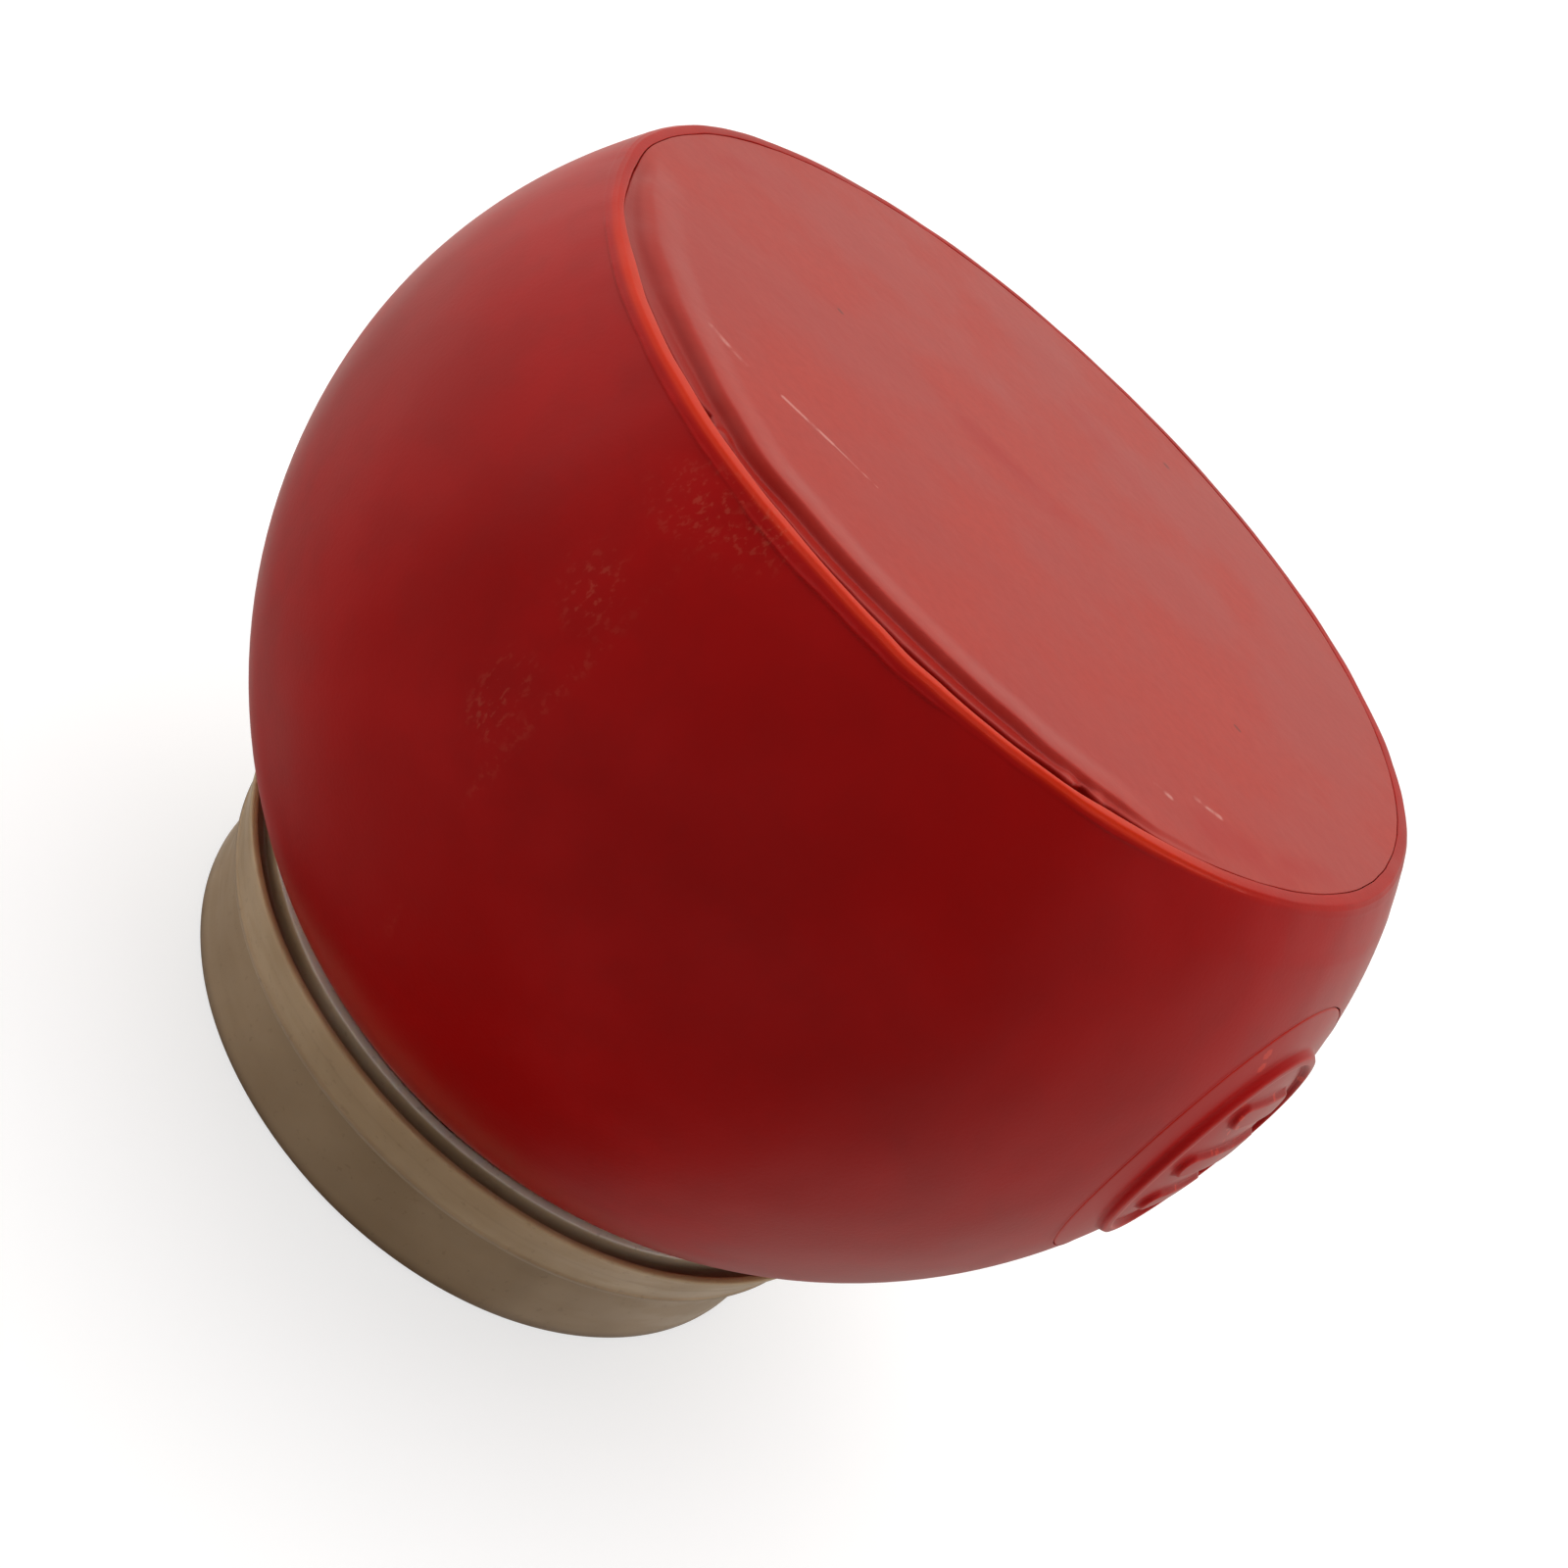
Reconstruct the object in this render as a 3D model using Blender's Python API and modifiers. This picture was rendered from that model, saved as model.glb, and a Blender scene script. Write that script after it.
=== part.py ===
"""A watchmaker's case opening friction ball, resting face up on its open ring stand.

Metres, +Z up. The origin is the centre of the stand's foot, and +Z is the axis of the ball and the stand.
The ball is a moulded elastomer shell with a cut-off top. It holds a soft core, and a tacky friction pad
closes its mouth. An oval badge is let into its side at +X. The ball sits loose in the stand and lifts off.
"""

import math

import bmesh
import bpy

# The ball's outside: two half ellipses that meet at its widest circle.
BALL_RADIUS = 0.0330
CROWN_HEIGHT = 0.0307  # upper ellipse's half height, drawn in a little towards the mouth
BOWL_DEPTH = 0.0325  # lower ellipse's half height
FACE_HEIGHT = 0.0166  # friction face above the widest circle

# The shell and what it holds.
SHELL_WALL = 0.0030
LIP_WALL = 0.0009  # the shell's thin edge round the pad
LIP_ROUND = 0.0003
PAD_THICKNESS = 0.0040
PAD_EDGE_ROUND = 0.0012
FIT_GAP = 0.0003  # between pieces that touch

# The badge let into the shell at +X. An oval is (half width along Y, half height along Z).
BADGE_HALF_WIDTH = 0.0070
BADGE_HALF_HEIGHT = 0.0072
BADGE_FRAME_WIDTH = 0.0007
BADGE_RISE = 0.0004
BADGE_LIFT = 0.0020  # the badge's middle is this far above the widest circle
INLAY_MARGIN = 0.0024  # the inlay reaches this far round the raised oval
INLAY_DEPTH = 0.0018
BAR_WIDTH = 0.0016
BAR_PITCH = 0.0035
BAR_HALF_LENGTHS = (0.0030, 0.0042, 0.0030)

# The ring stand, from the ball's seat outwards.
BENCH_CLEARANCE = 0.0019  # bench to the ball's lowest point
SEAT_RADIUS = 0.0218  # where the hollow that carries the ball ends
LAND_WIDTH = 0.0007  # the level land round the seat
GROOVE_WIDTH = 0.0009
GROOVE_DEPTH = 0.0009
STAND_LIP_WIDTH = 0.0005
STAND_LIP_RISE = 0.0003  # the lip stands this much above the land
STAND_LIP_ROUND = 0.0002
FLANGE_DEPTH = 0.0038
FLANGE_FLARE = 0.0011  # the flange is this much wider at its top than at its lower edge
UNDERCUT = 0.0009  # the lower wall stands back this far under the flange
STAND_WALL = 0.0024
FOOT_ROUND = 0.0004
BORE_CHAMFER = 0.0005

# Facets.
TURN_STEPS = 64
BALL_ROWS = 16  # rows of facets from the pole to the mouth
ROUND_STEPS = 3
OVAL_SIDES = 48
BAR_END_STEPS = 6
PRISM_REACH = 0.0080  # each cutting prism is longer than this past the wall, so that it cuts right through

# What follows from them.
CENTRE_Z = BENCH_CLEARANCE + BOWL_DEPTH
FACE_Z = CENTRE_Z + FACE_HEIGHT
PAD_FLOOR_Z = FACE_Z - PAD_THICKNESS


def ball_radius_at(z, inset=0.0):
    """Radius of the ball's form at a height in the world, with its surface moved in by inset."""
    half_height = (CROWN_HEIGHT if z > CENTRE_Z else BOWL_DEPTH) - inset
    share = min(1.0, abs(z - CENTRE_Z) / half_height)
    return (BALL_RADIUS - inset) * math.sqrt(1.0 - share * share)


def ball_side(inset, top_z):
    """Points (radius, z) down the ball's form, from top_z to its lowest point on the axis."""
    crown = CROWN_HEIGHT - inset
    first = math.asin(min(1.0, (top_z - CENTRE_Z) / crown))
    points = []
    for row in range(BALL_ROWS + 1):
        angle = first - (first + math.pi / 2) * row / BALL_ROWS
        half_height = crown if angle > 0 else BOWL_DEPTH - inset
        points.append(((BALL_RADIUS - inset) * math.cos(angle), CENTRE_Z + half_height * math.sin(angle)))
    points[-1] = (0.0, points[-1][1])
    return points


def rounded(corner, before, after, radius):
    """Points of a fillet at a corner of a profile, from the side of before to the side of after."""
    sides = []
    for end in (before, after):
        run = math.dist(corner, end)
        sides.append(((end[0] - corner[0]) / run, (end[1] - corner[1]) / run))
    cosine = sides[0][0] * sides[1][0] + sides[0][1] * sides[1][1]
    half_angle = math.acos(max(-1.0, min(1.0, cosine))) / 2
    middle = (sides[0][0] + sides[1][0], sides[0][1] + sides[1][1])
    stretch = radius / math.sin(half_angle) / math.hypot(*middle)
    centre = (corner[0] + middle[0] * stretch, corner[1] + middle[1] * stretch)
    reach = radius / math.tan(half_angle)
    start = (corner[0] + sides[0][0] * reach, corner[1] + sides[0][1] * reach)
    end = (corner[0] + sides[1][0] * reach, corner[1] + sides[1][1] * reach)
    angle = math.atan2(start[1] - centre[1], start[0] - centre[0])
    sweep = math.atan2(end[1] - centre[1], end[0] - centre[0]) - angle
    sweep = (sweep + math.pi) % (2 * math.pi) - math.pi
    points = []
    for step in range(ROUND_STEPS + 1):
        turn = angle + sweep * step / ROUND_STEPS
        points.append((centre[0] + radius * math.cos(turn), centre[1] + radius * math.sin(turn)))
    return points


def clear_scene():
    for obj in list(bpy.data.objects):
        bpy.data.objects.remove(obj, do_unlink=True)


def make_collection(name):
    collection = bpy.data.collections.new(name)
    bpy.context.scene.collection.children.link(collection)
    return collection


def make_material(name, colour, roughness):
    material = bpy.data.materials.new(name)
    material.use_nodes = True
    shader = material.node_tree.nodes["Principled BSDF"]
    shader.inputs["Base Color"].default_value = (*colour, 1.0)
    shader.inputs["Roughness"].default_value = roughness
    shader.inputs["Metallic"].default_value = 0.0
    material.diffuse_color = (*colour, 1.0)
    return material


def add_object(name, mesh, collection, material=None):
    obj = bpy.data.objects.new(name, mesh)
    collection.objects.link(obj)
    if material:
        mesh.materials.append(material)
    return obj


def as_cutter(obj):
    obj.hide_render = True
    obj.display_type = "WIRE"
    return obj


def turned(name, profile, collection, material=None, closed=False):
    """A solid of revolution about Z. The profile runs down its outer side."""
    mesh = bpy.data.meshes.new(name)
    shape = bmesh.new()
    verts = [shape.verts.new((radius, 0.0, z)) for radius, z in profile]
    for first, second in zip(verts, verts[1:]):
        shape.edges.new((first, second))
    if closed:
        shape.edges.new((verts[-1], verts[0]))
    shape.to_mesh(mesh)
    shape.free()
    obj = add_object(name, mesh, collection, material)
    screw = obj.modifiers.new("turn", "SCREW")
    screw.axis = "Z"
    screw.angle = 2 * math.pi
    screw.steps = TURN_STEPS
    screw.render_steps = TURN_STEPS
    screw.use_merge_vertices = True
    screw.merge_threshold = 0.00001
    screw.use_smooth_shade = True
    return obj


def prism_along_x(name, outline, collection, reach):
    """A prism along +X, reach to each side of the shell's wall, from (y, z) about the badge's middle."""
    inner_x = BALL_RADIUS - SHELL_WALL - reach
    outer_x = BALL_RADIUS + reach
    mesh = bpy.data.meshes.new(name)
    shape = bmesh.new()
    verts = [shape.verts.new((inner_x, y, CENTRE_Z + BADGE_LIFT + z)) for y, z in outline]
    end = shape.faces.new(verts)
    pushed = bmesh.ops.extrude_face_region(shape, geom=[end])
    moved = [item for item in pushed["geom"] if isinstance(item, bmesh.types.BMVert)]
    bmesh.ops.translate(shape, verts=moved, vec=(outer_x - inner_x, 0.0, 0.0))
    bmesh.ops.recalc_face_normals(shape, faces=shape.faces)
    shape.to_mesh(mesh)
    shape.free()
    return as_cutter(add_object(name, mesh, collection))


def oval(half_width, half_height):
    turns = [2 * math.pi * (side + 0.5) / OVAL_SIDES for side in range(OVAL_SIDES)]
    return [(half_width * math.cos(turn), half_height * math.sin(turn)) for turn in turns]


def level_bar(centre_z, half_length):
    """Outline of a level bar with round ends, as (y, z) about the badge's middle."""
    radius = BAR_WIDTH / 2
    points = []
    for end in (1, -1):
        for step in range(BAR_END_STEPS + 1):
            turn = math.pi * step / BAR_END_STEPS
            across = half_length - radius + radius * math.sin(turn)
            points.append((end * across, centre_z + end * radius * math.cos(turn)))
    return points


def boolean(obj, operation, other):
    modifier = obj.modifiers.new(operation.lower() + "_" + other.name, "BOOLEAN")
    modifier.operation = operation
    modifier.object = other
    modifier.solver = "EXACT"


def ball_form(name, inset, collection):
    """The ball's form closed at the mouth, moved in by inset, as a cutter. A facet's middle faces +X."""
    profile = [(0.0, FACE_Z)] + ball_side(inset, FACE_Z)
    form = as_cutter(turned(name, profile, collection))
    form.rotation_euler.z = math.pi / TURN_STEPS
    return form


def mouth_radius():
    return ball_radius_at(FACE_Z) - LIP_WALL


def inner_side(inset, top_z):
    """Points down the hollow's form, a straight mouth and then the ball's form inside the wall."""
    limit = mouth_radius() - inset
    wall = SHELL_WALL + inset
    share = limit / (BALL_RADIUS - wall)
    turn_in_z = CENTRE_Z + (CROWN_HEIGHT - wall) * math.sqrt(max(0.0, 1.0 - share * share))
    if turn_in_z >= top_z:
        return ball_side(wall, top_z)
    return [(limit, top_z)] + ball_side(wall, turn_in_z)


def make_ball_shell(parts, cutters, material):
    """The moulded outer shell: an even wall that thins to a lip at the mouth."""
    inner = inner_side(0.0, FACE_Z)
    outer = ball_side(0.0, FACE_Z)
    lip_inner, lip_outer = inner[0], outer[0]
    profile = inner[:0:-1]
    profile += rounded(lip_inner, inner[1], lip_outer, LIP_ROUND)
    profile += rounded(lip_outer, lip_inner, outer[1], LIP_ROUND)
    profile += outer[1:]
    shell = turned("ball_shell", profile, parts, material)
    half_width = BADGE_HALF_WIDTH + INLAY_MARGIN
    half_height = BADGE_HALF_HEIGHT + INLAY_MARGIN
    pocket = prism_along_x("pocket", oval(half_width, half_height), cutters, PRISM_REACH)
    boolean(pocket, "DIFFERENCE", ball_form("pocket_floor", INLAY_DEPTH, cutters))
    boolean(shell, "DIFFERENCE", pocket)


def make_soft_core(parts, material):
    """The soft filling poured into the shell, up to the pad."""
    side = inner_side(FIT_GAP, PAD_FLOOR_Z - FIT_GAP)
    turned("soft_core", [(0.0, side[0][1])] + side, parts, material)


def make_friction_pad(parts, material):
    """The flat tacky pad in the mouth, level with the lip, its upper edge well rounded."""
    radius = mouth_radius() - FIT_GAP
    top, edge, foot = (0.0, FACE_Z), (radius, FACE_Z), (radius, PAD_FLOOR_Z)
    profile = [top] + rounded(edge, top, foot, PAD_EDGE_ROUND) + [foot, (0.0, PAD_FLOOR_Z)]
    turned("friction_pad", profile, parts, material)


def make_badge(parts, cutters, material):
    """The oval inlay flush in the shell, with a raised frame and three plain raised bars."""
    half_width = BADGE_HALF_WIDTH + INLAY_MARGIN - FIT_GAP
    half_height = BADGE_HALF_HEIGHT + INLAY_MARGIN - FIT_GAP
    badge = prism_along_x("badge", oval(half_width, half_height), parts, PRISM_REACH)
    badge.hide_render = False
    badge.display_type = "TEXTURED"
    badge.data.materials.append(material)
    boolean(badge, "INTERSECT", ball_form("badge_surface", 0.0, cutters))
    raised_surface = ball_form("raised_surface", -BADGE_RISE, cutters)
    outside = oval(BADGE_HALF_WIDTH, BADGE_HALF_HEIGHT)
    inside = oval(BADGE_HALF_WIDTH - BADGE_FRAME_WIDTH, BADGE_HALF_HEIGHT - BADGE_FRAME_WIDTH)
    frame = prism_along_x("badge_frame", outside, cutters, PRISM_REACH * 0.9)
    boolean(frame, "DIFFERENCE", prism_along_x("badge_field", inside, cutters, PRISM_REACH * 1.1))
    raised = [frame]
    for place, half_length in enumerate(BAR_HALF_LENGTHS):
        centre_z = (place - (len(BAR_HALF_LENGTHS) - 1) / 2) * BAR_PITCH
        outline = level_bar(centre_z, half_length)
        raised.append(prism_along_x(f"badge_bar_{place + 1}", outline, cutters, PRISM_REACH * 0.8))
    for piece in raised:
        boolean(piece, "INTERSECT", raised_surface)
        boolean(badge, "UNION", piece)
    boolean(badge, "DIFFERENCE", ball_form("badge_floor", INLAY_DEPTH - FIT_GAP, cutters))


def make_stand_ring(parts, material):
    """The open ring: a seat that follows the ball, a land, a groove and a lip, a flared flange and a plain wall."""
    land_radius = SEAT_RADIUS + LAND_WIDTH
    groove_outer = land_radius + GROOVE_WIDTH
    lip_radius = groove_outer + STAND_LIP_WIDTH
    ridge_radius = lip_radius - FLANGE_FLARE
    wall_radius = ridge_radius - UNDERCUT
    bore_radius = wall_radius - STAND_WALL
    seat = []
    for row in range(ROUND_STEPS + 2):
        radius = bore_radius + (SEAT_RADIUS - bore_radius) * row / (ROUND_STEPS + 1)
        share = radius / (BALL_RADIUS + FIT_GAP)
        seat.append((radius, CENTRE_Z - (BOWL_DEPTH + FIT_GAP) * math.sqrt(1.0 - share * share)))
    land_z = seat[-1][1]
    top_z = land_z + STAND_LIP_RISE
    groove_z = land_z - GROOVE_DEPTH
    ridge_z = top_z - FLANGE_DEPTH
    lip_inner, lip_outer = (groove_outer, top_z), (lip_radius, top_z)
    ridge, foot = (ridge_radius, ridge_z), (wall_radius, 0.0)
    profile = seat + [(land_radius, land_z), (land_radius, groove_z), (groove_outer, groove_z)]
    profile += rounded(lip_inner, (groove_outer, groove_z), lip_outer, STAND_LIP_ROUND)
    profile += rounded(lip_outer, lip_inner, ridge, STAND_LIP_ROUND)
    profile += [ridge, (wall_radius, ridge_z - UNDERCUT / 2)]
    profile += rounded(foot, (wall_radius, ridge_z), (bore_radius, 0.0), FOOT_ROUND)
    profile += [(bore_radius + BORE_CHAMFER, 0.0), (bore_radius, BORE_CHAMFER)]
    turned("stand_ring", profile, parts, material, closed=True)


def shade(parts):
    for obj in parts.objects:
        obj.data.shade_smooth()
        obj.data.set_sharp_from_angle(angle=math.radians(40))


def main():
    clear_scene()
    parts = make_collection("case_opening_friction_ball")
    cutters = make_collection("cutters")
    cutters.hide_render = True
    shell_red = make_material("shell_red", (0.40, 0.012, 0.008), 0.42)
    pad_red = make_material("pad_red", (0.48, 0.11, 0.09), 0.38)
    core_red = make_material("core_red", (0.30, 0.010, 0.008), 0.50)
    badge_red = make_material("badge_red", (0.42, 0.015, 0.010), 0.40)
    stand_milky = make_material("stand_milky", (0.33, 0.27, 0.18), 0.45)
    make_ball_shell(parts, cutters, shell_red)
    make_soft_core(parts, core_red)
    make_friction_pad(parts, pad_red)
    make_badge(parts, cutters, badge_red)
    make_stand_ring(parts, stand_milky)
    shade(parts)


main()
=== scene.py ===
import math

import bmesh
import bpy
from mathutils import Matrix, Vector, noise


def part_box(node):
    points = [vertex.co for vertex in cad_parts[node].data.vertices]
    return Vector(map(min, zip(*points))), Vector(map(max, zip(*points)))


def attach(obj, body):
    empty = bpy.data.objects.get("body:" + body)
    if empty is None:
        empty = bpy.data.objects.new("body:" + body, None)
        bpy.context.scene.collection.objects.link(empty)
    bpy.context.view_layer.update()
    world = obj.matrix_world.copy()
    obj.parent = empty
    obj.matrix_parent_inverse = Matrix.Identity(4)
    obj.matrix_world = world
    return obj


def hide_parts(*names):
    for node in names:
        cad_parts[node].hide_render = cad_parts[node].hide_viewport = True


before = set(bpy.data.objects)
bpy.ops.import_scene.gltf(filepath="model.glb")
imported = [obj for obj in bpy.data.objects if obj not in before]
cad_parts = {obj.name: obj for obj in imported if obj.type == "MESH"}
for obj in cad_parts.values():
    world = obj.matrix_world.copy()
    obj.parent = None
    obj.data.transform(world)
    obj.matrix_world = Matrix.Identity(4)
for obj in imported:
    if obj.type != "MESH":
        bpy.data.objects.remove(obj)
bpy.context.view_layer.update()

MM = 0.001

# The ball's form, as the CAD has it: half an ellipsoid above the widest line and half below.
BALL_RADIUS = 33.0 * MM
CROWN_HEIGHT = 30.7 * MM
BOWL_DEPTH = 32.5 * MM
SHELL_WALL = 3.0 * MM
LIP_WALL = 0.9 * MM
FIT_GAP = 0.3 * MM
BALL_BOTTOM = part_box("ball_shell")[0].z
FACE_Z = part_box("friction_pad")[1].z
PAD_FLOOR_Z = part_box("friction_pad")[0].z
RING_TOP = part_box("stand_ring")[1].z
WIDEST_Z = BALL_BOTTOM + BOWL_DEPTH

# The oval badge: frame, field and joint line, half sizes across and up.
FRAME_OVAL = (7.0 * MM, 7.2 * MM)
INLAY_MARGIN = 2.4 * MM
INLAY_DEPTH = 1.8 * MM
FRAME_WIDTH = 0.7 * MM
FRAME_RISE = 0.4 * MM
BADGE_Z = WIDEST_Z + 2.0 * MM

# Angles of the worn rim run from a zero mark this far round from the badge, in degrees.
RIM_TURN = 7.0

# Columns round the ball, in degrees: close together along the worn front edge, wider behind.
COLUMN_RUNS = ((-146.0, -30.0, 0.5), (-30.0, 30.0, 1.0), (30.0, 214.0, 1.5))

# How far the lip has been pushed out or in, by angle (degrees, mm).
LIP_PUSH = (
    (-180, 0.24), (-160, 0.02), (-145, -0.28), (-130, -0.25), (-113, 0.0), (-101, 0.16), (-92, 0.10),
    (-83, 0.02), (-77, 0.12), (-73, 0.30), (-69, 0.14), (-62, 0.0), (-54, -0.08), (-45, -0.14), (-20, -0.18),
    (0, -0.12), (30, -0.02), (90, -0.10), (140, 0.14),
)
# Thickness of the lip's flat top, by angle (degrees, mm).
LIP_TOP = (
    (-180, 0.60), (-147, 0.42), (-136, 0.36), (-124, 0.58), (-102, 0.66), (-90, 0.58), (-82, 0.42),
    (-74, 0.52), (-62, 0.36), (-55, 0.30), (-49, 0.55), (-34, 0.62), (0, 0.60), (60, 0.62), (120, 0.55),
)
# Depth of the trimmed crease below the lip, by angle (degrees, mm).
CREASE_DEPTH = (
    (-180, 0.7), (-135, 0.45), (-113, 0.50), (-97, 0.58), (-90, 0.70), (-74, 0.58), (-62, 0.42), (-50, 0.40),
    (-38, 0.32), (0, 0.5), (90, 0.7),
)
# How strongly the crease shows, by angle (degrees, share).
CREASE_SHARE = (
    (-180, 0.12), (-140, 0.15), (-124, 0.85), (-98, 1.0), (-94, 0.3), (-91, 1.0), (-75, 1.0), (-69, 0.8),
    (-66, 0.15), (-60, 0.4), (-56, 0.2), (-50, 0.7), (-44, 0.6), (-40, 0.12), (0, 0.1), (120, 0.1),
)
# Where the pad's cast edge starts to step down, by angle (degrees, mm).
STEP_RADIUS = (
    (-180, 26.3), (-156, 26.2), (-148, 25.7), (-136, 25.1), (-124, 24.6), (-115, 24.5), (-105, 24.8),
    (-97, 25.1), (-90, 24.8), (-74, 24.7), (-62, 24.95), (-55, 25.4), (-49, 25.6), (-41, 26.1), (-30, 26.3),
    (0, 26.3), (90, 26.3),
)
# How far that step drops, by angle (degrees, mm).
STEP_DROP = (
    (-180, 0.0), (-158, 0.0), (-146, 0.20), (-136, 0.36), (-124, 0.48), (-115, 0.52), (-100, 0.52),
    (-88, 0.42), (-74, 0.36), (-62, 0.32), (-55, 0.24), (-48, 0.18), (-40, 0.06), (-32, 0.0), (0, 0.0), (90, 0.0),
)
# How wide its slope is, by angle (degrees, mm).
STEP_WIDTH = (
    (-180, 0.3), (-156, 0.6), (-146, 0.9), (-136, 1.2), (-126, 1.3), (-118, 1.0), (-108, 0.7),
    (-90, 0.58), (-60, 0.52), (-45, 0.4), (0, 0.2), (90, 0.2),
)
# Where the pad ends where its edge has worn away from the lip, by angle (degrees, mm).
PAD_EDGE = (
    (-180, 27.4), (-147, 27.4), (-134, 27.0), (-124, 26.5), (-115, 26.36), (-97, 26.30), (-82, 26.32),
    (-74, 26.36), (-62, 26.42), (-54, 26.30), (-47, 26.34), (-40, 26.7), (-20, 27.4), (0, 27.4), (90, 27.4),
)
# Torn spots along the pad's front edge: angle in degrees, then how far a shred stands out (mm).
TORN_SPOTS = (
    (-104.6, -0.55), (-103.2, -0.30), (-101.4, 0.55), (-99.6, -0.25),
    (-53.4, 0.42), (-51.2, -0.30), (-49.6, 0.36),
)


# ---------------------------------------------------------------- small sums

def soft_step(low, high, value):
    """0 at low and 1 at high, eased at both ends."""
    share = min(1.0, max(0.0, (value - low) / (high - low)))
    return share * share * (3.0 - 2.0 * share)


def by_angle(knots, angle):
    """The value that a list of (degrees, value) gives at an angle, eased between its knots."""
    angle = (angle - RIM_TURN + 180.0) % 360.0 - 180.0
    ring = list(knots) + [(knots[0][0] + 360, knots[0][1])]
    for (left, before), (right, after) in zip(ring, ring[1:]):
        if left <= angle <= right:
            return before + (after - before) * soft_step(left, right, angle)
    return knots[0][1]


def ripple(angle, per_turn, seed):
    """A smooth irregular wave from -1 to 1 round the ball, about per_turn waves in a turn."""
    reach = per_turn / math.tau
    turn = math.radians(angle)
    return noise.noise(Vector((math.cos(turn) * reach * 2.0, math.sin(turn) * reach * 2.0, seed)))


def form_radius(z):
    """The radius of the ball's form at a height."""
    half_height = CROWN_HEIGHT if z > WIDEST_Z else BOWL_DEPTH
    share = min(1.0, abs(z - WIDEST_Z) / half_height)
    return BALL_RADIUS * math.sqrt(1.0 - share * share)


def round_columns():
    """The angles of the columns round the ball."""
    columns = []
    for start, end, step in COLUMN_RUNS:
        count = round((end - start) / step)
        columns += [start + (end - start) * place / count for place in range(count)]
    return columns


def at(radius, angle, z):
    """A point by its distance from the axis, its angle in degrees and its height."""
    turn = math.radians(angle)
    return (radius * math.cos(turn), radius * math.sin(turn), z)


# ---------------------------------------------------------------- mesh making

def wound(columns, stations, place, tips=(None, None), skip=None, closed=False):
    """Points and faces of a skin wound round the axis.

    place(station, angle) gives each point, a tip's height closes an end, and skip leaves a face out.
    """
    points = [place(station, angle) for station in stations for angle in columns]
    around = len(columns)
    rows = list(range(len(stations)))
    pairs = list(zip(rows, rows[1:])) + ([(rows[-1], 0)] if closed else [])
    faces = []
    for low, high in pairs:
        for column in range(around):
            after = (column + 1) % around
            if skip and skip(low, column):
                continue
            near, far = low * around, high * around
            faces.append((near + column, near + after, far + after, far + column))
    for tip, row in zip(tips, (0, len(stations) - 1)):
        if tip is None:
            continue
        points.append((0.0, 0.0, tip))
        for column in range(around):
            faces.append((len(points) - 1, row * around + column, row * around + (column + 1) % around))
    return points, faces


def mesh_piece(name, points, faces, finish, body, node):
    """A closed, outward-facing, smooth piece that rides a body and stands for a CAD node."""
    mesh = bpy.data.meshes.new(name)
    mesh.from_pydata(points, [], faces)
    work = bmesh.new()
    work.from_mesh(mesh)
    bmesh.ops.recalc_face_normals(work, faces=work.faces)
    if work.calc_volume(signed=True) < 0:
        bmesh.ops.reverse_faces(work, faces=work.faces)
    work.to_mesh(mesh)
    work.free()
    mesh.shade_smooth()
    mesh.materials.append(finish)
    piece = bpy.data.objects.new(name, mesh)
    bpy.context.scene.collection.objects.link(piece)
    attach(piece, body)
    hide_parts(node)
    return piece


# ---------------------------------------------------------------- the shell

LIP_ROUND = 0.16 * MM
PUSH_FADE = 2.2 * MM  # how far below the face a pushed lip still moves the skin
SKIN_STOP = 0.30 * MM  # where the skin's rows end, below the crease
CREASE_RIDGE = 0.075 * MM
CREASE_STEP = 0.05 * MM
BOWL_ROWS = 56
CROWN_ROWS = 34
BAND_ROWS = 8
HOLLOW_ROWS = 44
HOLLOW_END = 88.0  # degrees down from level, where the tip closes the hollow

# The patch of skin that is woven into the badge's pocket: its size, its rings and how they ease inward.
PATCH_HALF_ANGLE = 30.0
PATCH_HALF_HEIGHT = 14.6 * MM
PATCH_RINGS = 12
PATCH_EASE = 1.25
POCKET_OVAL = (FRAME_OVAL[0] + INLAY_MARGIN, FRAME_OVAL[1] + INLAY_MARGIN)


def lip_outer(angle):
    """The radius of the lip's outside."""
    return form_radius(FACE_Z) + by_angle(LIP_PUSH, angle) * MM + ripple(angle, 60, 3.0) * 0.03 * MM


def lip_inner(angle):
    """The radius of the lip's inside, where the mouth begins."""
    return lip_outer(angle) - (by_angle(LIP_TOP, angle) + 0.14) * MM + ripple(angle, 40, 9.0) * 0.03 * MM


def lip_top(angle):
    """The height of the lip's top."""
    return FACE_Z + (ripple(angle, 24, 5.0) * 0.05 - 0.01) * MM


def wear(angle):
    """1 where the rim has been pulled about in use, 0 where it is as moulded."""
    return soft_step(0.0, 0.2, by_angle(STEP_DROP, angle))


def crease(angle):
    """How far below the face the trimmed crease runs."""
    return by_angle(CREASE_DEPTH, angle) * MM + ripple(angle, 50, 1.0) * 0.04 * MM


def skin_radius(z, angle):
    """The shell's outside: the ball's form, moved a little where the lip has been pushed."""
    below = FACE_Z - z
    push = (lip_outer(angle) - form_radius(FACE_Z)) * math.exp(-max(0.0, below) / PUSH_FADE)
    return form_radius(z) + push


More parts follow.
